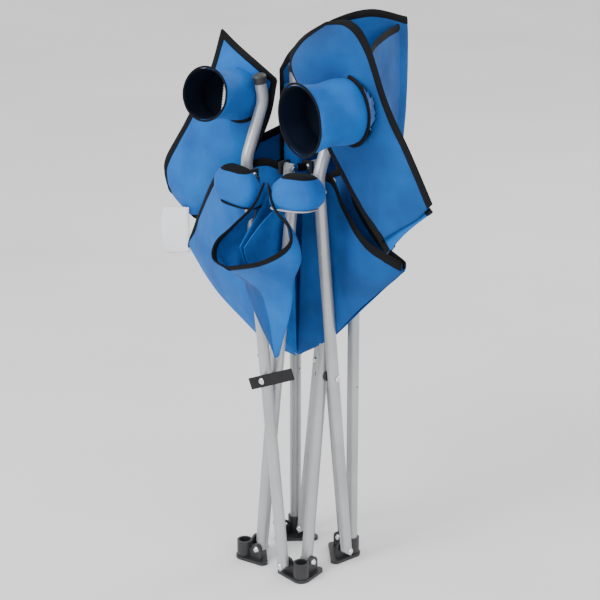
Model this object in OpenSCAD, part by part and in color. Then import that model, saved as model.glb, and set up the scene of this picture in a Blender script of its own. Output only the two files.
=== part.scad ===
/* [Frame] */
// Outer radius of the steel tubes
tube_r = 9.5; // [8:0.5:11]
// Wall of the steel tubes
tube_wall = 1.2; // [1:0.1:2]
// Length of a crossed leg from its foot rivet to its seat rivet
leg_len = 640; // [560:10:720]
// Distance between neighbouring foot sockets as the chair stands, nearly folded
foot_gap = 127; // [120:1:140]
// Top of the two upright back posts
post_top = 820; // [780:10:860]
/* [Plastic fittings] */
// Distance from a socket's centre to the rivet on each of its wings
wing = 28; // [28:1:32]
// Height of the foot rivets above the ground
pivot_z = 22; // [22:1:26]
// Sideways offset of a crossed leg from the plane of its pair
leg_off = 12.5; // [12.5:0.5:14]
/* [Fabric] */
// Thickness of the folded cloth panels
cloth_t = 3; // [2:0.5:4]
// Radius of the cup holder on the sitter's right
cup_r_right = 42; // [38:1:42]
// Radius of the cup holder on the sitter's left
cup_r_left = 50; // [45:1:50]
// Depth of both cup holders
cup_depth = 72; // [60:1:80]
/* [Hidden] */
$fn = 48;

// half the distance between neighbouring sockets, and between the rivets of one pair
half = foot_gap / 2;
half_rivet = half - wing;
// lean of the crossed legs from upright
lean = asin(2 * half_rivet / leg_len);
// height of the seat rivets
seat_z = pivot_z + leg_len * cos(lean);
cross_z = pivot_z + leg_len / 2 * cos(lean);
// how far a leg runs past its end rivets
leg_end = 10;
rivet_r = 3;
rivet_hole_r = 3.05;
rivet_head_r = 5.5;
rivet_head = 2;
lug_t = 5;
lug_r = 10;
socket_r = 13;
socket_bore_r = tube_r + 0.05;
slider_bore_r = tube_r + 0.3;
socket_h = 32;
plate_t = 5;
// the arm post: bend back above the seat, straight run, bend forward, straight tip
arm_bend_back = 30.4;
arm_bend_back_r = 50;
arm_run = 72;
arm_bend_front = 37;
arm_bend_front_r = 40;
arm_tip = 26;
arm_tip_lean = arm_bend_back - arm_bend_front;
// the model's own centre is moved to the centre of its box
centre_x = -15.7;
centre_y = 62.68;

// ---- places ----
// corner of the plan: direction of its wings is turned from the front right corner's
FRONT_LEFT = [half, -half, 90];
FRONT_RIGHT = [-half, -half, 0];
REAR_LEFT = [half, half, 180];
REAR_RIGHT = [-half, half, -90];

module at_corner(corner, z = 0)
    translate([corner[0], corner[1], z]) rotate([0, 0, corner[2]]) children();

// side: turn of the pair about the middle; outward 1 or -1; toward 1 leans to its own -x
module at_leg(side, outward, toward)
    rotate([0, 0, side])
    translate([toward * half_rivet, -half - outward * leg_off, pivot_z])
    rotate([0, -toward * lean, 0])
    children();

// ---- tubes ----
module leg_path(r, low, high)
    translate([0, 0, low]) cylinder(r = r, h = high - low);

// the arm post's centre line in the leg's own plane, as [x, z, lean] stations
bend_steps = 8;
function arc_stations(start, from, to, radius) = [
    for (i = [1:bend_steps])
        let (t = from + (to - from) * i / bend_steps, turn = to > from ? 1 : -1)
        [start[0] + turn * radius * (cos(from) - cos(t)), start[1] + turn * radius * (sin(t) - sin(from)), t]];
arm_foot = [0, leg_len + leg_end + 0.02, 0];
arm_bend_1 = arc_stations(arm_foot, 0, arm_bend_back, arm_bend_back_r);
arm_run_start = arm_bend_1[bend_steps - 1];
arm_run_end = arm_run_start + [arm_run * sin(arm_bend_back), arm_run * cos(arm_bend_back), 0];
arm_bend_2 = arc_stations(arm_run_end, arm_bend_back, arm_tip_lean, arm_bend_front_r);
arm_tip_at = arm_bend_2[bend_steps - 1] + [arm_tip * sin(arm_tip_lean), arm_tip * cos(arm_tip_lean), 0];
arm_line = concat([arm_foot], arm_bend_1, [arm_run_end], arm_bend_2, [arm_tip_at]);

// a bent tube swept along the stations, closed at both ends
sides = 28;
module arm_post()
    color("silver") polyhedron(
        points = [for (s = arm_line) for (k = [0:sides - 1])
            let (turn = 360 * k / sides)
            [s[0] + tube_r * cos(turn) * cos(s[2]), tube_r * sin(turn), s[1] - tube_r * cos(turn) * sin(s[2])]],
        faces = concat(
            [[for (k = [0:sides - 1]) k]],
            [for (i = [0:len(arm_line) - 2]) for (k = [0:sides - 1])
                let (next = (k + 1) % sides)
                [i * sides + k, (i + 1) * sides + k, (i + 1) * sides + next, i * sides + next]],
            [[for (k = [sides - 1:-1:0]) (len(arm_line) - 1) * sides + k]]));

// places its children at the tip of the arm post
module at_arm_tip()
    translate([arm_tip_at[0], 0, arm_tip_at[1]]) rotate([0, arm_tip_lean, 0]) children();

module leg_rivet_holes()
    for (z = [0, leg_len / 2, leg_len])
        translate([0, 0, z]) rotate([90, 0, 0]) cylinder(r = rivet_hole_r, h = 4 * tube_r, center = true);

// the ends are bevelled both ways, so that two legs can swing out side by side in one fitting
bevel = 5.8;
module end_bevel()
    for (turn = [45, -45])
        rotate([0, turn, 0]) translate([-20, -20, -40 - bevel]) cube([40, 40, 40]);

// top_cut is 0 where the arm post carries on from the leg's top
module leg(top_cut = 1.5)
    color("silver") difference() {
        union() {
            leg_path(tube_r, -leg_end + 1.5, leg_len + leg_end - top_cut);
            translate([0, 0, -leg_end]) cylinder(r1 = tube_r - 1.5, r2 = tube_r, h = 1.5);
            if (top_cut > 0)
                translate([0, 0, leg_len + leg_end - top_cut])
                cylinder(r1 = tube_r, r2 = tube_r - top_cut, h = top_cut);
        }
        leg_path(tube_r - tube_wall, leg_end + 8, leg_len - leg_end - 8);
        leg_rivet_holes();
        end_bevel();
        if (top_cut > 0) translate([0, 0, leg_len]) mirror([0, 0, 1]) end_bevel();
    }

module arm_cap()
    color("#1c1d20") difference() {
        union() {
            translate([0, 0, -10]) cylinder(r = tube_r + 1.5, h = 11);
            translate([0, 0, 1]) cylinder(r1 = tube_r + 1.5, r2 = tube_r - 1, h = 2.5);
        }
        translate([0, 0, -11]) cylinder(r = tube_r + 0.05, h = 11.05);
    }

module rear_post(corner)
    color("silver") translate([corner[0], corner[1], plate_t])
    difference() {
        cylinder(r = tube_r, h = post_top - plate_t);
        translate([0, 0, 2]) cylinder(r = tube_r - tube_wall, h = post_top - plate_t - 4);
        translate([0, 0, 300]) rotate([0, 90, 0]) cylinder(r = 1.5, h = tube_r + 1);
    }

module rear_post_cap(corner)
    translate([corner[0], corner[1], post_top]) arm_cap();

// ---- plastic fittings ----
module lug(height)
    difference() {
        union() {
            translate([socket_r - 2, -lug_t / 2, -height]) cube([wing + lug_r - socket_r + 2, lug_t, height]);
            translate([wing, 0, 0]) rotate([90, 0, 0]) cylinder(r = lug_r, h = lug_t, center = true);
        }
        translate([wing, 0, 0]) rotate([90, 0, 0]) cylinder(r = rivet_hole_r, h = 2 * lug_t, center = true);
    }

module both_wings() {
    children();
    mirror([1, -1, 0]) children();
}

module foot_plate()
    linear_extrude(plate_t) {
        circle(r = socket_r + 2);
        translate([wing + 12, 0]) circle(r = 9);
        translate([0, wing + 12]) circle(r = 9);
        polygon([[0, -socket_r - 2], [wing + 12, -9], [wing + 20, 4], [4, wing + 20],
            [-9, wing + 12], [-socket_r - 2, 0]]);
    }

module foot(corner)
    color("#1c1d20") at_corner(corner) {
        difference() {
            union() {
                foot_plate();
                cylinder(r = socket_r, h = socket_h);
                both_wings() translate([0, 0, pivot_z]) lug(pivot_z - 1);
            }
            translate([0, 0, plate_t]) cylinder(r = socket_bore_r, h = socket_h);
        }
    }

module slider(corner)
    color("#1c1d20") at_corner(corner, seat_z)
    difference() {
        union() {
            translate([0, 0, -18]) cylinder(r = socket_r, h = 36);
            both_wings() lug(lug_r);
            both_wings() mirror([0, 0, 1]) lug(lug_r);
        }
        translate([0, 0, -20]) cylinder(r = slider_bore_r, h = 40);
    }

module bracket(corner)
    color("#1c1d20") at_corner(corner, seat_z) {
        translate([-lug_t / 2, -lug_t / 2, -13]) cube([14, 14, 26]);
        both_wings() lug(lug_r);
        both_wings() mirror([0, 0, 1]) lug(lug_r);
    }

// ---- rivets ----
// a rivet along y from low to high, with a domed head at each end
module rivet(low, high)
    color("gainsboro") rotate([-90, 0, 0]) {
        translate([0, 0, low]) cylinder(r = rivet_r, h = high - low);
        translate([0, 0, high]) cylinder(r1 = rivet_head_r, r2 = rivet_head_r - 2, h = rivet_head);
        translate([0, 0, low - rivet_head]) cylinder(r1 = rivet_head_r - 2, r2 = rivet_head_r, h = rivet_head);
    }

tube_face = leg_off + tube_r + 0.3;
lug_face = lug_t / 2 + 0.3;

// x_outer and y_outer: 1 where the leg on that wing passes outside its lug
module wing_rivets(corner, z, x_outer, y_outer)
    at_corner(corner, z) {
        translate([wing, 0, 0])
            rivet(x_outer == 1 ? -tube_face : -lug_face, x_outer == 1 ? lug_face : tube_face);
        mirror([1, -1, 0]) translate([wing, 0, 0])
            rivet(y_outer == 1 ? -tube_face : -lug_face, y_outer == 1 ? lug_face : tube_face);
    }

module cross_rivet(side, strap)
    rotate([0, 0, side]) translate([0, -half, cross_z]) rivet(-tube_face - strap, tube_face);

module cross_spacer(side)
    color("#1c1d20") rotate([0, 0, side]) translate([0, -half, cross_z]) rotate([90, 0, 0])
    difference() {
        cylinder(r = 8, h = 5.4, center = true);
        cylinder(r = rivet_hole_r, h = 8, center = true);
    }

strap_t = 2;
module closure_strap()
    color("#141416") translate([0, -half - tube_face - 0.1, cross_z]) rotate([0, -24, 0])
    difference() {
        translate([-27, -strap_t, -9.5]) cube([100, strap_t, 19]);
        rotate([90, 0, 0]) cylinder(r = rivet_hole_r, h = 10, center = true);
    }

// ---- fabric ----
// the clear space round every tube, cut out of the folded cloth
module tube_room() {
    for (side = [0, 90]) {
        at_leg(side, 1, 1) leg_path(tube_r + 2.5, -20, leg_len + 20);
        at_leg(side, -1, -1) leg_path(tube_r + 2.5, -20, leg_len + 20);
    }
    for (side = [-90, 180]) {
        at_leg(side, 1, -1) leg_path(tube_r + 2.5, -20, leg_len + 20);
        at_leg(side, -1, 1) leg_path(tube_r + 2.5, -20, leg_len + 20);
    }
    for (x = [-half, half]) translate([x, half, 0]) cylinder(r = tube_r + 2.5, h = post_top + 10);
}

function unit(v) = v / norm(v);

// a flat three-cornered panel of cloth between a, m and c, drawn in from its edges,
// and lying on the outer side of its fold so that it clears the panel it folds against
panel_inset = 6;
fold_gap = 0.2;
function outward(a, m) = [m[0] == 0 ? a[0] : 0, m[1] == 0 ? a[1] : 0, 0];
module cloth_panel(a, m, c)
    let (u = unit(m - c), n = unit(cross(u, a - c)), v = cross(n, u), out = n * outward(a, m) > 0)
    multmatrix([[u[0], v[0], n[0], c[0]], [u[1], v[1], n[1], c[1]], [u[2], v[2], n[2], c[2]], [0, 0, 0, 1]])
    translate([0, 0, out ? fold_gap : -cloth_t - fold_gap]) linear_extrude(cloth_t) offset(delta = -panel_inset)
    polygon([[0, 0], [norm(m - c), 0], [(a - c) * u, (a - c) * v]]);

// seat cloth: a square hung by its corners, its four edges folded out as wings
seat_in = 19.5;
seat_drop = 301;
wing_out = 235;
wing_drop = 164.5;
front_out = 176;
front_drop = 88;
function seat_corner(x, y) = [x * seat_in, y * seat_in, seat_z];
seat_low = [0, 0, seat_z - seat_drop];
function side_wing(x, y) = [x * wing_out, y * wing_out, seat_z - wing_drop];
front_wing = [0, -front_out, seat_z - front_drop];

module seat_panel(corner, edge)
    color("#1f78b8") difference() {
        cloth_panel(corner, edge, seat_low);
        tube_room();
    }

module seat_pocket(x)
    color("#1f78b8") translate([x * 37, 0, 0]) {
        translate([-28, -half - 27.5, seat_z - 26]) cube([56, 3, 43]);
        translate([-28, -half - 25, seat_z + 14]) cube([56, 43, 3]);
    }

// back cloth: two upright halves that meet in one fold behind the posts
back_fold = [-38, 300];
back_low = 530;
back_start = 17;
module back_panel(x)
    color("#1f78b8") let (dir = back_fold - [x * half, half], len = norm(dir))
    translate([x * half, half, 0]) rotate([0, 0, atan2(dir[1], dir[0])]) rotate([90, 0, 0])
    translate([0, 0, -cloth_t / 2]) linear_extrude(cloth_t)
    polygon([[back_start, back_low], [len - 9, back_low], [len - 9, post_top + 20], [back_start, post_top - 4]]);

// arm cloth: the front half hangs down from the post's tip, the back half returns to the back post
arm_lean = 30;
arm_right_y = 12.5;
arm_left_y = -47;
arm_right_top = [-172, 870];
arm_left_top = [148, 900];
module arm_front(x, y, top, width)
    color("#1f78b8") translate([0, y, 0]) rotate([90, 0, 0])
    translate([0, 0, -cloth_t / 2]) linear_extrude(cloth_t)
    translate(top) rotate([0, 0, x * arm_lean]) polygon([[0, 0], [-x * width, 0],
        [-x * (width - 24), -314], [-x * 12, -290]]);

// the hole in the arm cloth over a cup holder
module cup_mouth(r)
    translate([0, 0, -2 * cloth_t]) cylinder(r = r - 2, h = 4 * cloth_t);

// middle of a cup holder's mouth, measured from the arm cloth's outer top corner
module at_cup(x, y, top, across, down)
    translate([0, y - cloth_t / 2, 0]) rotate([90, 0, 0]) translate(top) rotate([0, 0, x * arm_lean])
    translate([-x * across, -down, 0]) children();

module cup(r)
    color("#1f78b8") difference() {
        translate([0, 0, 0.2]) cylinder(r = r, h = cup_depth);
        translate([0, 0, -1]) cylinder(r = r - 2, h = cup_depth - 0.8);
    }

// back half of an arm: from the two ends of its fold up to the back post
arm_rear_z = 725;
arm_rear_out = 36;
module arm_rear(fold_out, fold_in, post)
    color("#1f78b8") let (u = unit(fold_in - fold_out), n = unit(cross(u, post - fold_out)), v = cross(n, u))
    multmatrix([[u[0], v[0], n[0], fold_out[0]], [u[1], v[1], n[1], fold_out[1]],
        [u[2], v[2], n[2], fold_out[2]], [0, 0, 0, 1]])
    let (w = norm(fold_in - fold_out), p = [(post - fold_out) * u, (post - fold_out) * v])
    translate([0, 0, -cloth_t / 2]) linear_extrude(cloth_t)
    polygon([[2, 8], [w - 2, 8], p + [24, -18], p + [-24, -18]]);

// a light mesh pocket that hangs below the right arm
module mesh_pocket()
    color("gainsboro") translate([-314, 16, 486]) cube([64, 2, 52]);

// where a point of the arm cloth lies, from its place across and down the strip
function arm_point(x, y, top, across, down) = [
    top[0] + cos(arm_lean) * -x * across + sin(arm_lean) * x * down, y,
    top[1] - sin(arm_lean) * across - cos(arm_lean) * down];

module place()
    translate([-centre_x, -centre_y, 0]) children();

place() foot(FRONT_LEFT);  // foot_front_left
place() foot(FRONT_RIGHT);  // foot_front_right
place() foot(REAR_LEFT);  // foot_rear_left
place() foot(REAR_RIGHT);  // foot_rear_right
place() at_leg(0, 1, 1) leg();  // front_leg_outer
place() at_leg(0, -1, -1) leg();  // front_leg_inner
place() at_leg(90, 1, 1) leg(0);  // left_arm_leg
place() at_leg(90, -1, -1) leg();  // left_leg_inner
place() at_leg(-90, 1, -1) leg(0);  // right_arm_leg
place() at_leg(-90, -1, 1) leg();  // right_leg_inner
place() at_leg(180, 1, -1) leg();  // rear_leg_outer
place() at_leg(180, -1, 1) leg();  // rear_leg_inner
place() rear_post(REAR_LEFT);  // rear_post_left
place() rear_post(REAR_RIGHT);  // rear_post_right
place() rear_post_cap(REAR_LEFT);  // rear_post_cap_left
place() rear_post_cap(REAR_RIGHT);  // rear_post_cap_right
place() at_leg(90, 1, 1) arm_post();  // arm_post_left
place() at_leg(-90, 1, -1) mirror([1, 0, 0]) arm_post();  // arm_post_right
place() at_leg(90, 1, 1) at_arm_tip() arm_cap();  // arm_post_cap_left
place() at_leg(-90, 1, -1) mirror([1, 0, 0]) at_arm_tip() arm_cap();  // arm_post_cap_right
place() bracket(FRONT_LEFT);  // front_bracket_left
place() bracket(FRONT_RIGHT);  // front_bracket_right
place() slider(REAR_LEFT);  // rear_slider_left
place() slider(REAR_RIGHT);  // rear_slider_right
place() cross_rivet(0, strap_t + 0.2);  // front_cross_rivet
place() cross_rivet(90, 0);  // left_cross_rivet
place() cross_rivet(-90, 0);  // right_cross_rivet
place() cross_rivet(180, 0);  // rear_cross_rivet
place() cross_spacer(0);  // front_cross_spacer
place() cross_spacer(90);  // left_cross_spacer
place() cross_spacer(-90);  // right_cross_spacer
place() cross_spacer(180);  // rear_cross_spacer
place() wing_rivets(FRONT_LEFT, pivot_z, 0, 1);  // foot_rivets_front_left
place() wing_rivets(FRONT_RIGHT, pivot_z, 0, 0);  // foot_rivets_front_right
place() wing_rivets(REAR_LEFT, pivot_z, 1, 1);  // foot_rivets_rear_left
place() wing_rivets(REAR_RIGHT, pivot_z, 1, 0);  // foot_rivets_rear_right
place() wing_rivets(FRONT_LEFT, seat_z, 1, 0);  // seat_rivets_front_left
place() wing_rivets(FRONT_RIGHT, seat_z, 1, 1);  // seat_rivets_front_right
place() wing_rivets(REAR_LEFT, seat_z, 0, 0);  // seat_rivets_rear_left
place() wing_rivets(REAR_RIGHT, seat_z, 0, 1);  // seat_rivets_rear_right
place() closure_strap();
place() seat_panel(seat_corner(1, -1), front_wing);  // seat_front_left
place() seat_panel(seat_corner(-1, -1), front_wing);  // seat_front_right
place() seat_panel(seat_corner(1, -1), side_wing(1, 0));  // seat_left_front
place() seat_panel(seat_corner(1, 1), side_wing(1, 0));  // seat_left_rear
place() seat_panel(seat_corner(1, 1), side_wing(0, 1));  // seat_rear_left
place() seat_panel(seat_corner(-1, 1), side_wing(0, 1));  // seat_rear_right
place() seat_panel(seat_corner(-1, -1), side_wing(-1, 0));  // seat_right_front
place() seat_panel(seat_corner(-1, 1), side_wing(-1, 0));  // seat_right_rear
place() seat_pocket(1);  // seat_pocket_left
place() seat_pocket(-1);  // seat_pocket_right
place() back_panel(1);  // back_left
place() back_panel(-1);  // back_right
place() difference() {  // arm_front_left
    arm_front(1, arm_left_y, arm_left_top, 150);
    at_cup(1, arm_left_y, arm_left_top, 102, 107) cup_mouth(cup_r_left);
}
place() difference() {  // arm_front_right
    arm_front(-1, arm_right_y, arm_right_top, 130);
    at_cup(-1, arm_right_y, arm_right_top, 86, 64) cup_mouth(cup_r_right);
}
place()  // arm_rear_left
    arm_rear(arm_point(1, arm_left_y + 6, arm_left_top, 12, 290),
        arm_point(1, arm_left_y + 6, arm_left_top, 120, 310), [half + arm_rear_out, half, arm_rear_z]);
place()  // arm_rear_right
    arm_rear(arm_point(-1, arm_right_y + 6, arm_right_top, 12, 290),
        arm_point(-1, arm_right_y + 6, arm_right_top, 106, 314), [-half - arm_rear_out, half, arm_rear_z]);
place() at_cup(1, arm_left_y, arm_left_top, 102, 107) cup(cup_r_left);  // cup_left
place() at_cup(-1, arm_right_y, arm_right_top, 86, 64) cup(cup_r_right);  // cup_right
place() mesh_pocket();
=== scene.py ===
"""Folding camp chair, standing nearly closed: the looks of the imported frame."""
import math

import bpy
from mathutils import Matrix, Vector, noise


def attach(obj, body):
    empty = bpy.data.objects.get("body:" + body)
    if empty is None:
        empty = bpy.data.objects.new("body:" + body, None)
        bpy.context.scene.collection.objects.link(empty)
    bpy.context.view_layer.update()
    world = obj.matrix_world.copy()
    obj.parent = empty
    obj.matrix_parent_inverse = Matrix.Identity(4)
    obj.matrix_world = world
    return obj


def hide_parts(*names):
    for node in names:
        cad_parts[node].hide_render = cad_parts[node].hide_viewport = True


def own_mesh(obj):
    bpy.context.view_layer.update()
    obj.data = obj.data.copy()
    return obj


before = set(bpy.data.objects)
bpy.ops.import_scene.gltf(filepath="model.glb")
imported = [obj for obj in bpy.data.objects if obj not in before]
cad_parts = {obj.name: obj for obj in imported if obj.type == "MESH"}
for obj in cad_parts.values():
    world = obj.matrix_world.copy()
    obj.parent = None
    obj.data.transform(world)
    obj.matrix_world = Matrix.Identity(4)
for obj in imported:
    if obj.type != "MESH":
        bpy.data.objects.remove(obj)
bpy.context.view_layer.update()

# the chair's own frame: millimetres from the middle of its four feet, x to its left, y to its back
MIDDLE = (-15.7, 62.68)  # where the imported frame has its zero
POST = 63.5  # the back posts stand this far from the middle, both ways
CORNER = 19.5  # the folded seat's corners lie this far from the middle, both ways
SEAT = 658.0  # height of the folded seat's corners
LOW = 357.0  # height of its middle, the lowest point of its cloth
SIDES = (("left", 1), ("right", -1))
FRONT, REAR = -1, 1


def at(x, y, z):
    """A point of the chair's own frame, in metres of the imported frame."""
    return Vector(((x - MIDDLE[0]) / 1000, (y - MIDDLE[1]) / 1000, z / 1000))


def chair_mm(point):
    """The other way round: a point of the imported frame, in the chair's millimetres."""
    return point.x * 1000 + MIDDLE[0], point.y * 1000 + MIDDLE[1], point.z * 1000


# ---------------------------------------------------------------- materials
WAVE = 0.314  # metres from one band of a wave texture to the next, at scale 1


def shader(name, colour, rough, metal=0.0):
    """A plain material to build on, with its node tree and its surface node."""
    mat = bpy.data.materials.new(name)
    mat.use_nodes = True
    bsdf = mat.node_tree.nodes["Principled BSDF"]
    bsdf.inputs["Roughness"].default_value = rough
    bsdf.inputs["Metallic"].default_value = metal
    bsdf.inputs["Base Color"].default_value = (*colour, 1)
    return mat, mat.node_tree, bsdf


def link(tree, a, out, b, into):
    """Join one node's output to another node's input."""
    tree.links.new(a.outputs[out], b.inputs[into])


def mottle(tree, bsdf, coords, scale, dark, light, detail=5.0):
    """Noise between two tones, as the base colour."""
    cloud = tree.nodes.new("ShaderNodeTexNoise")
    cloud.inputs["Scale"].default_value = scale
    cloud.inputs["Detail"].default_value = detail
    link(tree, coords, "Object", cloud, "Vector")
    ramp = tree.nodes.new("ShaderNodeValToRGB")
    ramp.color_ramp.elements[0].position = 0.3
    ramp.color_ramp.elements[1].position = 0.72
    ramp.color_ramp.elements[0].color = (*dark, 1)
    ramp.color_ramp.elements[1].color = (*light, 1)
    link(tree, cloud, "Fac", ramp, "Fac")
    link(tree, ramp, "Color", bsdf, "Base Color")
    return cloud


def woven(name, dark, light, rough, thread=0.0011, depth=0.0002, sheen=0.0, shine=0.25):
    """Plain weave laid out on the cloth's own flat coordinates, in metres."""
    mat, tree, bsdf = shader(name, light, rough)
    coords = tree.nodes.new("ShaderNodeTexCoord")
    mottle(tree, bsdf, coords, scale=14.0, dark=dark, light=light)
    bands = []
    for way in ("X", "Y"):
        wave = tree.nodes.new("ShaderNodeTexWave")
        wave.bands_direction = way
        wave.inputs["Scale"].default_value = WAVE / thread
        wave.inputs["Distortion"].default_value = 0.6
        link(tree, coords, "UV", wave, "Vector")
        bands.append(wave)
    cross = tree.nodes.new("ShaderNodeMath")
    cross.operation = "MULTIPLY"
    link(tree, bands[0], "Fac", cross, 0)
    link(tree, bands[1], "Fac", cross, 1)
    crease = tree.nodes.new("ShaderNodeTexNoise")
    crease.inputs["Scale"].default_value = 38.0
    crease.inputs["Detail"].default_value = 3.0
    link(tree, coords, "Object", crease, "Vector")
    soft = tree.nodes.new("ShaderNodeBump")
    soft.inputs["Strength"].default_value = 0.35
    soft.inputs["Distance"].default_value = 0.004
    link(tree, crease, "Fac", soft, "Height")
    bump = tree.nodes.new("ShaderNodeBump")
    bump.inputs["Strength"].default_value = 0.5
    bump.inputs["Distance"].default_value = depth
    link(tree, cross, "Value", bump, "Height")
    link(tree, soft, "Normal", bump, "Normal")
    link(tree, bump, "Normal", bsdf, "Normal")
    bsdf.inputs["Specular IOR Level"].default_value = shine
    bsdf.inputs["Sheen Weight"].default_value = sheen
    bsdf.inputs["Sheen Roughness"].default_value = 0.4
    return mat


def solid(name, dark, light, rough, metal, scale, grain, depth=0.0001):
    """Paint, plastic or steel: two close tones, scale patches a metre, and a fine grain."""
    mat, tree, bsdf = shader(name, light, rough, metal)
    coords = tree.nodes.new("ShaderNodeTexCoord")
    mottle(tree, bsdf, coords, scale, dark, light)
    fine = tree.nodes.new("ShaderNodeTexNoise")
    fine.inputs["Scale"].default_value = grain
    fine.inputs["Detail"].default_value = 2.0
    link(tree, coords, "Object", fine, "Vector")
    spread = tree.nodes.new("ShaderNodeMapRange")
    spread.inputs["To Min"].default_value = rough - 0.06
    spread.inputs["To Max"].default_value = rough + 0.08
    link(tree, fine, "Fac", spread, "Value")
    link(tree, spread, "Result", bsdf, "Roughness")
    bump = tree.nodes.new("ShaderNodeBump")
    bump.inputs["Strength"].default_value = 0.4
    bump.inputs["Distance"].default_value = depth
    link(tree, fine, "Fac", bump, "Height")
    link(tree, bump, "Normal", bsdf, "Normal")
    return mat


def netting(name, pitch=0.0042, share=0.24):
    """Light knitted mesh: holes on the cloth's own flat coordinates, share of the pitch in radius."""
    mat, tree, bsdf = shader(name, (0.86, 0.87, 0.90), 0.75)
    coords = tree.nodes.new("ShaderNodeTexCoord")
    cells = tree.nodes.new("ShaderNodeTexVoronoi")
    cells.inputs["Scale"].default_value = 1 / pitch
    cells.inputs["Randomness"].default_value = 0.12
    link(tree, coords, "UV", cells, "Vector")
    hole = tree.nodes.new("ShaderNodeMath")
    hole.operation = "GREATER_THAN"
    hole.inputs[1].default_value = share
    link(tree, cells, "Distance", hole, 0)
    link(tree, hole, "Value", bsdf, "Alpha")
    return mat


CLOTH = woven("blue_cloth", (0.001, 0.080, 0.33), (0.002, 0.140, 0.50), rough=0.66, sheen=0.03)
# painted shade: the cloth's back faces get a darker copy of the blue, for the shade on the inner sides of
# the folds
CLOTH_BACK_PAINTED_SHADE = woven("cloth_back_painted_shade", (0.002, 0.045, 0.18), (0.004, 0.085, 0.32), rough=0.72, sheen=0.02)
BINDING = woven(
    "black_binding", (0.003, 0.003, 0.004), (0.007, 0.007, 0.008), rough=0.8, thread=0.0018, shine=0.15
)
# painted shade: the inside of the cup holders painted near-black
CUP_PAINTED_SHADE = woven("cup_inside_painted_shade", (0.001, 0.003, 0.009), (0.003, 0.007, 0.020), rough=0.8, shine=0.1)
WEBBING = woven("black_webbing", (0.007, 0.007, 0.008), (0.016, 0.016, 0.018), rough=0.6, thread=0.0022)
THREAD = woven("light_thread", (0.30, 0.31, 0.33), (0.46, 0.47, 0.50), rough=0.6, thread=0.0008)
MESH = netting("light_mesh")
TUBE = solid(
    "grey_powder_coat",
    (0.36, 0.37, 0.38),
    (0.47, 0.485, 0.495),
    rough=0.38,
    metal=0.55,
    scale=9.0,
    grain=900.0,
)
PLASTIC = solid(
    "black_plastic",
    (0.014, 0.014, 0.016),
    (0.028, 0.028, 0.031),
    rough=0.45,
    metal=0.0,
    scale=30.0,
    grain=1400.0,
)
RIVET = solid(
    "bright_rivet",
    (0.60, 0.60, 0.60),
    (0.80, 0.80, 0.80),
    rough=0.24,
    metal=1.0,
    scale=60.0,
    grain=1500.0,
)


# ---------------------------------------------------------------- the frame
def looks_of(node):
    """The material of a hard node, told by its name."""
    if "rivet" in node:
        return RIVET
    if node == "closure_strap":
        return WEBBING
    if "cap" in node or "spacer" in node or node.startswith(("foot", "front_bracket", "rear_slider")):
        return PLASTIC
    return TUBE


# the cloth nodes are dressed further down; every other node is shown as it is
SOFT = ("seat_", "back_", "arm_front", "arm_rear", "cup_", "mesh_")
for node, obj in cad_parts.items():
    if node.startswith(SOFT) and "rivets" not in node:
        continue
    obj.data.materials.clear()
    obj.data.materials.append(looks_of(node))


# ---------------------------------------------------------------- cloth
# metres
CLOTH_THICK = 0.0012
TAPE_WIDE, TAPE_THICK = 0.014, 0.0038
COARSE, FINE = 0.0055, 0.004  # the size of a panel's cells
SMALL = 0.02  # soft forms and tubes narrower than this crease less
ROUND_STEPS = 72  # points round a soft form or a cup
RING_APART = 0.006  # the texture's step from one ring to the next


def spline(points, share):
    """A point on the smooth curve through the points, share from 0 to 1."""
    spans = len(points) - 1
    i = min(int(share * spans), spans - 1)
    t = share * spans - i
    b, c = points[i], points[i + 1]
    a = points[i - 1] if i > 0 else b * 2 - c
    d = points[i + 2] if i + 2 <= spans else c * 2 - b
    slope = (c - a) * t
    bend = (2 * a - 5 * b + 4 * c - d) * t * t
    turn = (3 * b - a - 3 * c + d) * t ** 3
    return 0.5 * (2 * b + slope + bend + turn)


def ruffle(point, seed, folds):
    """Soft creases: a mix of long folds and small ones, from -1 to 1."""
    drawn = Vector((point.x * 9 * folds, point.y * 9 * folds, point.z * 4 * folds))
    long = noise.noise(drawn + Vector((seed, 0, 0)))
    ridge = 1 - 2 * abs(noise.noise(point * 17 * folds + Vector((0, seed, 0))))
    small = noise.noise(point * 45 + Vector((0, 0, seed)))
    return 0.75 * long + 0.3 * (ridge - 0.6) + 0.16 * small


def oval_tape(verts, faces, edge, inward, normals, wide, thick, closed=False):
    """Edge tape folded over the cloth: an oval section swept along the edge, most of it inward."""
    ring = 8  # points round its section
    first = len(verts)
    for p, d, n in zip(edge, inward, normals):
        for k in range(ring):
            a = 2 * math.pi * k / ring
            verts.append(p + d * (wide * 0.3 + 0.5 * wide * math.cos(a)) + n * thick * 0.5 * math.sin(a))
    count = len(edge)
    for i in range(count if closed else count - 1):
        for k in range(ring):
            a, b = first + i * ring, first + ((i + 1) % count) * ring
            faces.append((a + k, a + (k + 1) % ring, b + (k + 1) % ring, b + k))
    if not closed:
        faces.append(tuple(first + k for k in range(ring)))
        faces.append(tuple(first + (count - 1) * ring + k for k in reversed(range(ring))))


def make(name, verts, faces, uvs, kinds, mats):
    """A mesh object. uvs has a place on the flat cloth for its first points; the rest are tape."""
    mesh = bpy.data.meshes.new(name)
    mesh.from_pydata([tuple(v) for v in verts], [], faces)
    layer = mesh.uv_layers.new(name="flat")
    for poly in mesh.polygons:
        for loop in poly.loop_indices:
            i = mesh.loops[loop].vertex_index
            layer.data[loop].uv = uvs[i] if i < len(uvs) else (verts[i].x + verts[i].y, verts[i].z)
        poly.material_index = kinds[poly.index]
        poly.use_smooth = True
    for mat in mats:
        mesh.materials.append(mat)
    obj = bpy.data.objects.new(name, mesh)
    bpy.context.scene.collection.objects.link(obj)
    return obj


# a panel's back faces default to the darker blue of painted shade
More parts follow.
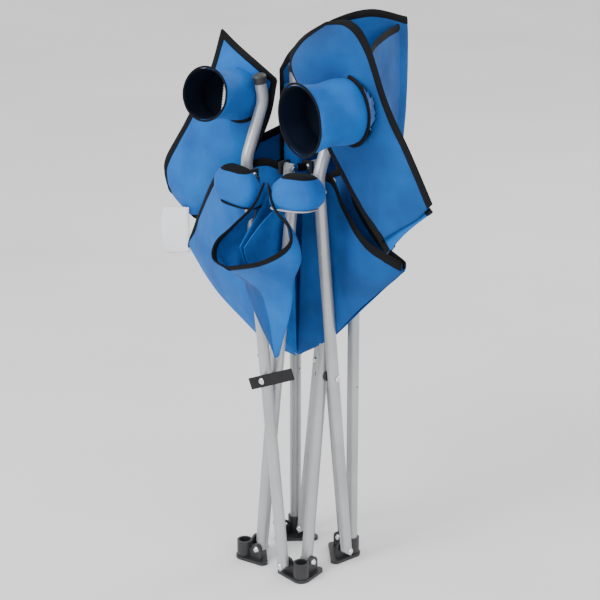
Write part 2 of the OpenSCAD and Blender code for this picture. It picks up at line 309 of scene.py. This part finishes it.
def panel(
    name, rows, bound="", crease=4.0, folds=1.0, seed=1.0, hole=None, front=CLOTH, back=CLOTH_BACK_PAINTED_SHADE, step=COARSE
):
    """A cloth panel through rows of points (mm, chair frame), its named edges bound with tape.
    bound holds a for the first row, z for the last, s for the rows' starts and e for their ends.
    hole is the middle and the radius of a round hole; crease is the creases' depth in mm."""
    rows = [[at(*p) for p in row] for row in rows]
    width = max(sum((r[i + 1] - r[i]).length for i in range(len(r) - 1)) for r in rows)
    height = max(
        sum((rows[j + 1][i] - rows[j][i]).length for j in range(len(rows) - 1)) for i in range(len(rows[0]))
    )
    nu, nv = max(6, int(width / step)), max(6, int(height / step))
    grid = []
    for j in range(nv + 1):
        line = [spline([spline(r, i / nu) for r in rows], j / nv) for i in range(nu + 1)]
        grid.append(line)

    def normal(j, i):
        a = grid[j][min(i + 1, nu)] - grid[j][max(i - 1, 0)]
        b = grid[min(j + 1, nv)][i] - grid[max(j - 1, 0)][i]
        n = a.cross(b)
        return n.normalized() if n.length > 1e-12 else Vector((0, 0, 1))

    normals = [[normal(j, i) for i in range(nu + 1)] for j in range(nv + 1)]
    for j in range(nv + 1):
        for i in range(nu + 1):
            u, v = i / nu, j / nv
            # the creases die down to a quarter at the edges
            near = min(1.0, 0.25 + 5 * min(u, 1 - u, v, 1 - v))
            grid[j][i] = grid[j][i] + normals[j][i] * ruffle(grid[j][i], seed, folds) * crease / 1000 * near
    normals = [[normal(j, i) for i in range(nu + 1)] for j in range(nv + 1)]
    verts, uvs, faces, kinds = [], [], [], []
    for side in (0.5, -0.5):
        for j in range(nv + 1):
            for i in range(nu + 1):
                verts.append(grid[j][i] + normals[j][i] * side * CLOTH_THICK)
                uvs.append((i / nu * width, j / nv * height))
    under = (nu + 1) * (nv + 1)
    kept = {}
    for j in range(nv):
        for i in range(nu):
            middle = (grid[j][i] + grid[j + 1][i + 1]) / 2
            kept[j, i] = hole is None or (middle - hole[0]).length > hole[1]
    for (j, i), there in kept.items():
        if not there:
            continue
        a = j * (nu + 1) + i
        quad = (a, a + 1, a + nu + 2, a + nu + 1)
        faces.append(quad)
        kinds.append(0)
        faces.append(tuple(under + k for k in reversed(quad)))
        kinds.append(2)
        beside = ((j - 1, i), (j, i + 1), (j + 1, i), (j, i - 1))
        for k, other in enumerate(beside):
            if not kept.get(other, False):
                p, q = quad[k], quad[(k + 1) % 4]
                faces.append((q, p, under + p, under + q))
                kinds.append(0)
    plain = len(faces)
    edges = {
        "a": [(0, i, 1, i) for i in range(nu + 1)],
        "z": [(nv, i, nv - 1, i) for i in range(nu + 1)],
        "s": [(j, 0, j, 1) for j in range(nv + 1)],
        "e": [(j, nu, j, nu - 1) for j in range(nv + 1)],
    }
    for key in bound:
        pts = [grid[j][i] for j, i, _, _ in edges[key]]
        ins = [(grid[b][d] - grid[j][i]).normalized() for j, i, b, d in edges[key]]
        up = [normals[j][i] for j, i, _, _ in edges[key]]
        oval_tape(verts, faces, pts, ins, up, TAPE_WIDE, TAPE_THICK)
    kinds += [1] * (len(faces) - plain)
    obj = make(name, verts, faces, uvs, kinds, [front, BINDING, back])
    cut = sum(
        (grid[j][i + 1] - grid[j][i]).cross(grid[j + 1][i] - grid[j][i]).length
        for (j, i), there in kept.items()
        if there
    )
    obj["flat"] = (width, height)
    obj["cut"] = max(0.3 * width * height, min(cut, width * height))
    return obj


def hoop(name, centre, axis, radius, wide, thick, mat, turns=64):
    """A ring of tape round a mouth or a rim."""
    axis = axis.normalized()
    side = axis.cross(Vector((0, 0, 1))).normalized()
    up = side.cross(axis)
    verts, faces = [], []
    angles = [2 * math.pi * k / turns for k in range(turns)]
    edge = [centre + (side * math.cos(a) + up * math.sin(a)) * radius for a in angles]
    away = [(p - centre).normalized() for p in edge]
    oval_tape(verts, faces, edge, away, [axis] * turns, wide, thick, closed=True)
    return make(name, verts, faces, [], [0] * len(faces), [mat])


def boxy(t, power=0.72):
    """A point at angle t of a circle drawn out a little towards its corners."""
    c, s = math.cos(t), math.sin(t)
    return math.copysign(abs(c) ** power, c), math.copysign(abs(s) ** power, s)


def bag(name, rings, mats, crease=1.6, seed=3.0, kinds_at=None):
    """A closed soft form through oval rings. Each ring is its centre, half width, half depth,
    the direction of its width and that of its depth; kinds_at gives each ring's material."""
    around = ROUND_STEPS
    kinds_at = kinds_at or [0] * len(rings)
    verts, faces, uvs, kinds = [], [], [], []
    for j, (c, a, b, x, y) in enumerate(rings):
        for k in range(around):
            t = 2 * math.pi * k / around
            u, v = boxy(t)
            p = c + x * (a * u) + y * (b * v)
            p += (x * u + y * v) * ruffle(p, seed, 1.6) * crease / 1000 * min(1, a / SMALL)
            verts.append(p)
            uvs.append((t * 0.04, j * RING_APART))
    for j in range(len(rings) - 1):
        for k in range(around):
            a, b = j * around, (j + 1) * around
            faces.append((a + k, a + (k + 1) % around, b + (k + 1) % around, b + k))
            kinds.append(kinds_at[j])
    faces.append(tuple(reversed(range(around))))
    kinds.append(kinds_at[0])
    faces.append(tuple((len(rings) - 1) * around + k for k in range(around)))
    kinds.append(kinds_at[-1])
    return make(name, verts, faces, uvs, kinds, mats)


def dress(obj, body, node):
    """The cloth moves with the body and stands in for the plain node."""
    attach(obj, body)
    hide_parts(node)


def fold_flat(obj):
    """The cloth gets its own copy of its mesh."""
    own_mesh(obj)


def halfway(top, low, moves):
    """The row halfway between two rows, each of its points moved by (x, y)."""
    return [
        ((a[0] + b[0]) / 2 + move[0], (a[1] + b[1]) / 2 + move[1], (a[2] + b[2]) / 2)
        for a, b, move in zip(top, low, moves)
    ]


# ---------------------------------------------------------------- seat
# the seat's left and right edges are each two wings of cloth that meet at a fold halfway along
for side, x in SIDES:
    for which, y in (("front", FRONT), ("rear", REAR)):
        if side == "left":
            # both layers pass between the crossed legs of this side
            top = [
                (40, y * 34, 668),
                (84, y * 20, 680),
                (108, y * 15, 636),
                (152, y * 13, 588),
                (216, y * 4, 563),
            ]
            low = [
                (2, y * 3, 362),
                (38, y * 3, 384),
                (76, y * 4, 412),
                (140, y * 6, 478),
                (216, y * 3, 550),
            ]
            swell = (0, 0, 1, 13, 1)
        else:
            # the front layer hangs in front of the arm leg
            off = 56 if y == FRONT else 26
            top = [
                (-48, y * (off + 8), 656),
                (-98, y * off, 666),
                (-148, y * off * 0.66, 638),
                (-202, y * 16, 571),
                (-244, y * 4, 504),
            ]
            low = [
                (-2, y * 3, 360),
                (-48, y * off * 0.26, 372),
                (-90, y * off * 0.3, 391),
                (-180, y * 8, 436),
                (-244, y * 3, 494),
            ]
            swell = (4, 8, 14, 12, 1)
        mid = halfway(top, low, [(0, y * out) for out in swell])
        body = f"seat_{side}_{which}"
        rows = [top, mid, low]
        seed = 3.1 + x + 2 * y
        wing = panel(f"seat_wing_{side}_{which}", rows, bound="a", crease=7, folds=1.1, seed=seed)
        dress(wing, body, body)
        fold_flat(wing)

# the rear edge's two wings hang between the back posts
for side, x in SIDES:
    top = [(x * 40, 42, 664), (x * 34, 80, 655), (x * 24, 130, 600), (x * 20, 190, 525), (x * 5, 238, 500)]
    low = [(x * 3, 3, 362), (x * 4, 60, 384), (x * 6, 110, 412), (x * 6, 170, 448), (x * 3, 238, 486)]
    mid = halfway(top, low, [(x * 14 * out, 0) for out in (0.5, 1, 1.1, 0.9, 0.1)])
    body = f"seat_rear_{side}"
    wing = panel(f"seat_wing_rear_{side}", [top, mid, low], bound="a", crease=7, folds=1.1, seed=8.3 + x)
    dress(wing, body, body)
    fold_flat(wing)

# the front of the seat curls forward between the front legs
FRONT_TIP = at(0, -176, 570)
CURL_LEFT = [
    [(28, -100, 674), (42, -104, 642), (84, -114, 622), (98, -132, 598), (60, -150, 568), (-8, -158, 546)],
    [(52, -82, 606), (80, -88, 588), (94, -100, 566), (84, -112, 548), (48, -120, 532), (5, -124, 520)],
    [(68, -88, 500), (66, -92, 498), (58, -96, 494), (46, -99, 490), (32, -99, 487), (18, -99, 484)],
    [(41, -90, 396), (40, -91, 394), (39, -92, 393), (38, -93, 392), (37, -93, 391), (36, -93, 390)],
]
CURL_RIGHT = [
    [(20, -100, 674), (4, -104, 640), (-30, -118, 600), (-54, -130, 572), (-46, -146, 551), (-8, -158, 546)],
    [(-24, -80, 600), (-40, -92, 580), (-56, -106, 558), (-54, -116, 540), (-30, -122, 528), (5, -124, 520)],
    [(-31, -89, 497), (-25, -94, 495), (-10, -98, 492), (0, -99, 488), (9, -99, 486), (18, -99, 484)],
    [(31, -90, 396), (32, -91, 394), (33, -92, 393), (34, -93, 392), (35, -93, 391), (36, -93, 390)],
]
for (side, x), rows in zip(SIDES, (CURL_LEFT, CURL_RIGHT)):
    body = f"seat_front_{side}"
    lip = panel(f"seat_front_curl_{side}", rows, bound="a", crease=4, seed=12.0 + x)
    dress(lip, body, body)
    # the direction across the curl, from the seat's low middle to its front tip and its corner; the curl
    # gets its own copy of its mesh
    across = (FRONT_TIP - at(0, 0, LOW)).cross(at(x * CORNER, -CORNER, SEAT) - at(0, 0, LOW))
    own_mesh(lip)

    # the rest of the seat's front, folded away inside the curl
    web = panel(
        f"seat_front_web_{side}",
        [
            [(x * 24, -28, 652), (x * 15, -62, 630), (x * 8, -98, 604), (x * 4, -130, 574)],
            [(x * 12, -20, 520), (x * 9, -42, 520), (x * 5, -70, 512), (x * 3, -126, 562)],
            [(x * 2, -6, 368), (x * 2, -16, 380), (x * 2, -36, 404), (x * 3, -122, 550)],
        ],
        crease=5,
        seed=14.0 + x,
    )
    dress(web, body, body)
    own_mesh(web)

# the pockets sewn to the seat's front corners, drawn over the brackets
POCKET_RINGS, HEM_RINGS = 15, 4
for side, mid_x, mid_y, wide, deep, low, high, lean, tilt, hem_cloth in (
    ("left", 70, -80, 50, 26, 638, 692, 12, 0.10, THREAD),
    ("right", -50, -82, 42, 25, 626, 682, -8, -0.06, BINDING),
):
    across, along = Vector((1, 0, tilt)), Vector((0, 1, 0))
    rings = []
    for k in range(POCKET_RINGS):
        # full like a cushion, and drawn in at its lower edge
        t = k / (POCKET_RINGS - 1)
        swell = math.sin(math.pi * (0.2 + 0.72 * t)) ** 0.42
        if k == 0:
            swell *= 0.9
        centre = at(mid_x + lean * (t - 0.5), mid_y, low + (high - low) * t)
        rings.append((centre, wide * swell / 1000, deep * swell / 1000, across, along))
    # its top is the black tape along the seat's edge
    kinds_at = [0] * (POCKET_RINGS - 2) + [1] * 2
    pocket = bag(
        f"corner_pocket_{side}", rings, [CLOTH, BINDING], crease=8, seed=21 + mid_x, kinds_at=kinds_at
    )
    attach(pocket, f"corner_front_{side}")
    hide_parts(f"seat_pocket_{side}")
    rings = []
    for k in range(HEM_RINGS):
        centre = at(mid_x - lean * 0.5, mid_y, low - 0.6 + k * 0.5)
        share = 0.83 + 0.02 * min(k, HEM_RINGS - 1 - k)
        rings.append((centre, wide * share / 1000, deep * 0.86 / 1000, across, along))
    hem = bag(f"corner_hem_{side}", rings, [hem_cloth], crease=1.0, seed=4)
    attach(hem, f"corner_front_{side}")


# ---------------------------------------------------------------- back
BACK_LOW = 535  # height of the back's lower edge
SLEEVE_LOW, SLEEVE_STEP, SLEEVE_RINGS = 560, 17.5, 14


def upright(points, low, highs):
    """Rows from the top edge down to the low edge, over plan points (x, y)."""
    rows = []
    for t in (0, 0.12, 0.4, 0.7, 1.0):
        sway = 5 * math.sin(6.3 * t)
        row = []
        for i, ((x, y), high) in enumerate(zip(points, highs)):
            row.append((x + sway * math.sin(i * 1.7), y, high + (low - high) * t))
        rows.append(row)
    return rows


for side, seed, plan, highs in (
    (
        "right",
        31,
        [(-84, 50), (-94, 84), (-98, 130), (-86, 184), (-62, 248), (-37, 312)],
        (812, 832, 850, 872, 882, 864),
    ),
    (
        "left",
        37,
        [(82, 54), (66, 92), (36, 132), (2, 180), (-24, 244), (-45, 310)],
        (806, 822, 836, 846, 852, 854),
    ),
):
    half = panel(
        f"back_cloth_{side}", upright(plan, BACK_LOW, highs), bound="asz", crease=8, folds=0.8, seed=seed
    )
    dress(half, f"back_{side}", f"back_{side}")

# the sleeves that hold the back cloth on its posts
for side, x in SIDES:
    rings = []
    for k in range(SLEEVE_RINGS):
        centre = at(x * POST, POST, SLEEVE_LOW + k * SLEEVE_STEP)
        wide = (17 + 1.5 * math.sin(k * 1.1)) / 1000
        deep = (15.5 + math.cos(k * 1.7)) / 1000
        rings.append((centre, wide, deep, Vector((1, 0, 0)), Vector((0, 1, 0))))
    sleeve = bag(f"back_sleeve_{side}", rings, [CLOTH], crease=2.4, seed=40 + x)
    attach(sleeve, f"foot_rear_{side}")


# ---------------------------------------------------------------- arms
RECESS = 0.056  # the cup's foot lies this far inside its end, in metres
CUP_THICK = 0.0016
LIP_IN, RIM_IN = 3, 2  # the tape lies this far inside the radius of the cup's mouth and end, in mm


def cup(name, mouth, end, r_mouth, r_end, body, node):
    """A cup holder: a cloth tube open at the arm cloth, its inner wall and foot painted near-black as
    painted shade. Gives the place of its foot.
    """
    axis = (end - mouth).normalized()
    side = axis.cross(Vector((0, 0, 1))).normalized()
    up = side.cross(axis)
    steps = 13
    walls = []
    for k in range(steps):
        # a little wavy along its length, and a little flat
        t = k / (steps - 1)
        r = r_mouth + (r_end - r_mouth) * t + 1.5 * math.sin(t * 9)
        walls.append((mouth + (end - mouth) * t, r / 1000, r * (0.94 + 0.03 * math.cos(t * 4)) / 1000))
    wall = tuple((c, a, b, side, up) for c, a, b in walls)
    deep = tuple((c, a - CUP_THICK, b - CUP_THICK, side, up) for c, a, b in reversed(walls))
    # the foot is a disc set well up inside, so the tube's inner wall, painted near-black as painted shade,
    # shows below it
    foot_in = [ring for ring in deep if (ring[0] - end).length <= RECESS]
    foot, foot_wide, foot_deep = foot_in[-1][:3]
    loop = list(wall) + foot_in
    for back, share in ((0, 0.05), (CUP_THICK, 0.05), (CUP_THICK, 0.96)):
        loop.append((foot - axis * back, foot_wide * share, foot_deep * share, side, up))
    loop += deep[len(foot_in):]
    verts, faces, uvs, kinds = [], [], [], []
    around = ROUND_STEPS
    for j, (c, a, b, x, y) in enumerate(loop):
        for k in range(around):
            t = 2 * math.pi * k / around
            out = x * math.cos(t) + y * math.sin(t)
            p = c + x * (a * math.cos(t)) + y * (b * math.sin(t))
            p += out * ruffle(c + out * 0.04, 17.0, 1.5) * 0.0022 * min(1, a / SMALL)
            verts.append(p)
            uvs.append((t * 0.045, j * RING_APART))
    count = len(loop)
    for j in range(count):
        n = (j + 1) % count
        for k in range(around):
            after = (k + 1) % around
            faces.append((j * around + k, j * around + after, n * around + after, n * around + k))
            # the outer wall is the blue cloth; the inner wall and the foot take the near-black painted shade
            kinds.append(0 if j < steps - 1 or j == count - 1 else 1)
    obj = make(name, verts, faces, uvs, kinds, [CLOTH, CUP_PAINTED_SHADE])
    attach(obj, body)
    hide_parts(node)
    rim = hoop(name + "_rim", end, axis, (r_end - RIM_IN) / 1000, 0.0035, 0.003, BINDING)
    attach(rim, body)
    lip_place = mouth + axis * 0.001
    lip = hoop(name + "_lip", lip_place, axis, (r_mouth - LIP_IN) / 1000, 0.010, 0.0036, BINDING)
    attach(lip, body)
    return foot, axis, side, up


def net_rows(foot, axis, side, up, radius):
    """The rows of the net sewn across a cup's foot, in the chair's millimetres."""
    rows = []
    for v in (-1, 0, 1):
        row = []
        for u in (-0.95, -0.75, -0.5, -0.2, 0.1):
            over = side * (u * radius * 0.84) + up * (v * (1 - 0.55 * u * u) * radius * 0.8)
            row.append(chair_mm(foot + axis * 0.003 + over / 1000))
        rows.append(row)
    return rows


def arm_front(side, rows, crease, seed, mouth, end, r_mouth, r_end):
    """The front half of an arm and its cup, whose mouth has a taped hole in the cloth."""
    body = f"arm_front_{side}"
    strip = panel(
        f"arm_cloth_{side}",
        rows,
        bound="asz",
        crease=crease,
        seed=seed,
        hole=(mouth, (r_mouth - LIP_IN) / 1000),
        step=FINE,
    )
    dress(strip, body, body)
    return cup(f"cup_cloth_{side}", mouth, end, r_mouth, r_end, body, f"cup_{side}")


# the rows run along each arm, from its outer edge to its inner one
ARM_RIGHT = [
    [(-177, 15, 868), (-204, 12, 794), (-258, 10, 706), (-306, 10, 637), (-314, 12, 608), (-306, 13, 579)],
    [(-140, 12, 848), (-158, 5, 775), (-212, 2, 690), (-266, 3, 610), (-288, 8, 584), (-284, 12, 563)],
    [(-98, 12, 826), (-110, 5, 745), (-160, 2, 660), (-216, 2, 585), (-250, 7, 556), (-262, 12, 549)],
    [(-60, 15, 804), (-74, 12, 742), (-112, 10, 668), (-170, 10, 598), (-214, 12, 558), (-244, 13, 541)],
]
ARM_LEFT = [
    [(100, -50, 924), (150, -52, 930), (182, -50, 900), (218, -48, 818), (264, -47, 746), (302, -46, 682)],
    [(58, -52, 897), (98, -72, 880), (146, -62, 850), (190, -55, 770), (236, -52, 702), (275, -47, 655)],
    [(32, -50, 868), (62, -66, 838), (106, -60, 800), (152, -55, 735), (200, -52, 670), (241, -47, 632)],
    [(28, -46, 842), (48, -46, 812), (82, -46, 762), (122, -46, 706), (165, -46, 652), (207, -46, 608)],
]
foot_right = arm_front(
    "right",
    ARM_RIGHT,
    crease=3.5,
    seed=51,
    mouth=at(-131, 8, 771),
    end=at(-120, -84, 789),
    r_mouth=41,
    r_end=43,
)
arm_front(
    "left",
    ARM_LEFT,
    crease=4.5,
    seed=57,
    mouth=at(152, -56, 800),
    end=at(131, -142, 797),
    r_mouth=50,
    r_end=55,
)
rows = net_rows(*foot_right, radius=43)
net = panel("cup_net_right", rows, crease=0.6, front=MESH, back=MESH, step=0.006)
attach(net, "arm_front_right")

# the rear halves, from the fold back up to the posts
for side, seed, rows in (
    (
        "right",
        61,
        [
            [(-306, 20, 574), (-240, 30, 622), (-160, 44, 676), (-78, 78, 726), (-34, 84, 748)],
            [(-276, 22, 556), (-210, 26, 600), (-136, 40, 650), (-70, 78, 702), (-30, 84, 724)],
            [(-246, 20, 538), (-186, 30, 578), (-118, 44, 626), (-62, 78, 680), (-26, 84, 700)],
        ],
    ),
    (
        "left",
        67,
        [
            [(300, -42, 669), (232, -14, 696), (150, 26, 716), (84, 76, 732), (8, 104, 742)],
            [(258, -46, 632), (194, -18, 662), (124, 20, 687), (74, 76, 705), (2, 104, 716)],
            [(220, -46, 590), (160, -16, 626), (104, 26, 657), (68, 76, 680), (-4, 104, 692)],
        ],
    ),
):
    body = f"arm_rear_{side}"
    strip = panel(f"arm_rear_cloth_{side}", rows, bound="aze", crease=4, seed=seed)
    dress(strip, body, body)

patch = panel(
    "net_pocket",
    [
        [(-312, 4, 548), (-290, -2, 556), (-248, 2, 562)],
        [(-316, 2, 510), (-288, -6, 512), (-246, 0, 516)],
        [(-308, 4, 470), (-284, 0, 474), (-250, 4, 482)],
    ],
    crease=6,
    folds=2.2,
    seed=71,
    front=MESH,
    back=MESH,
)
dress(patch, "arm_rear_right", "mesh_pocket")


# ---------------------------------------------------------------- stage
floor_mat, floor_tree, floor_bsdf = shader("studio_floor", (0.80, 0.80, 0.80), 0.85)
floor_coords = floor_tree.nodes.new("ShaderNodeTexCoord")
mottle(floor_tree, floor_bsdf, floor_coords, 1.5, (0.78, 0.78, 0.78), (0.84, 0.84, 0.84), detail=2.0)
# just under the feet, so that their faces and its own never meet
bpy.ops.mesh.primitive_plane_add(size=80, location=(0, 0, -0.0005))
floor = bpy.context.object
floor.name = "floor"
floor.data.materials.append(floor_mat)

world = bpy.data.worlds.new("studio")
bpy.context.scene.world = world
world.use_nodes = True
world.node_tree.nodes["Background"].inputs["Color"].default_value = (1, 1, 1, 1)
world.node_tree.nodes["Background"].inputs["Strength"].default_value = 1.2


def lamp(name, place, energy, size, aim=(0, 0, 0.45)):
    """A square lamp at place, turned to the middle of the chair."""
    data = bpy.data.lights.new(name, "AREA")
    data.energy = energy
    data.size = size
    obj = bpy.data.objects.new(name, data)
    obj.location = place
    obj.rotation_euler = (Vector(aim) - Vector(place)).to_track_quat("-Z", "Y").to_euler()
    bpy.context.scene.collection.objects.link(obj)


lamp("key", (-0.6, -2.6, 2.4), energy=70, size=1.4)
lamp("fill", (2.6, -1.2, 1.6), energy=26, size=2.0)
lamp("rim", (0.6, 2.6, 2.4), energy=30, size=1.6)

lens = bpy.data.cameras.new("camera")
lens.sensor_width = 36
lens.lens = 112
camera = bpy.data.objects.new("camera", lens)
bpy.context.scene.collection.objects.link(camera)
target = at(4, 0, 456)
azimuth, elevation, distance = math.radians(42), math.radians(19), 3.0
level = math.cos(elevation)
toward = Vector((level * math.sin(azimuth), -level * math.cos(azimuth), math.sin(elevation)))
camera.location = target + toward * distance
camera.rotation_euler = (-toward).to_track_quat("-Z", "Y").to_euler()
bpy.context.scene.camera = camera
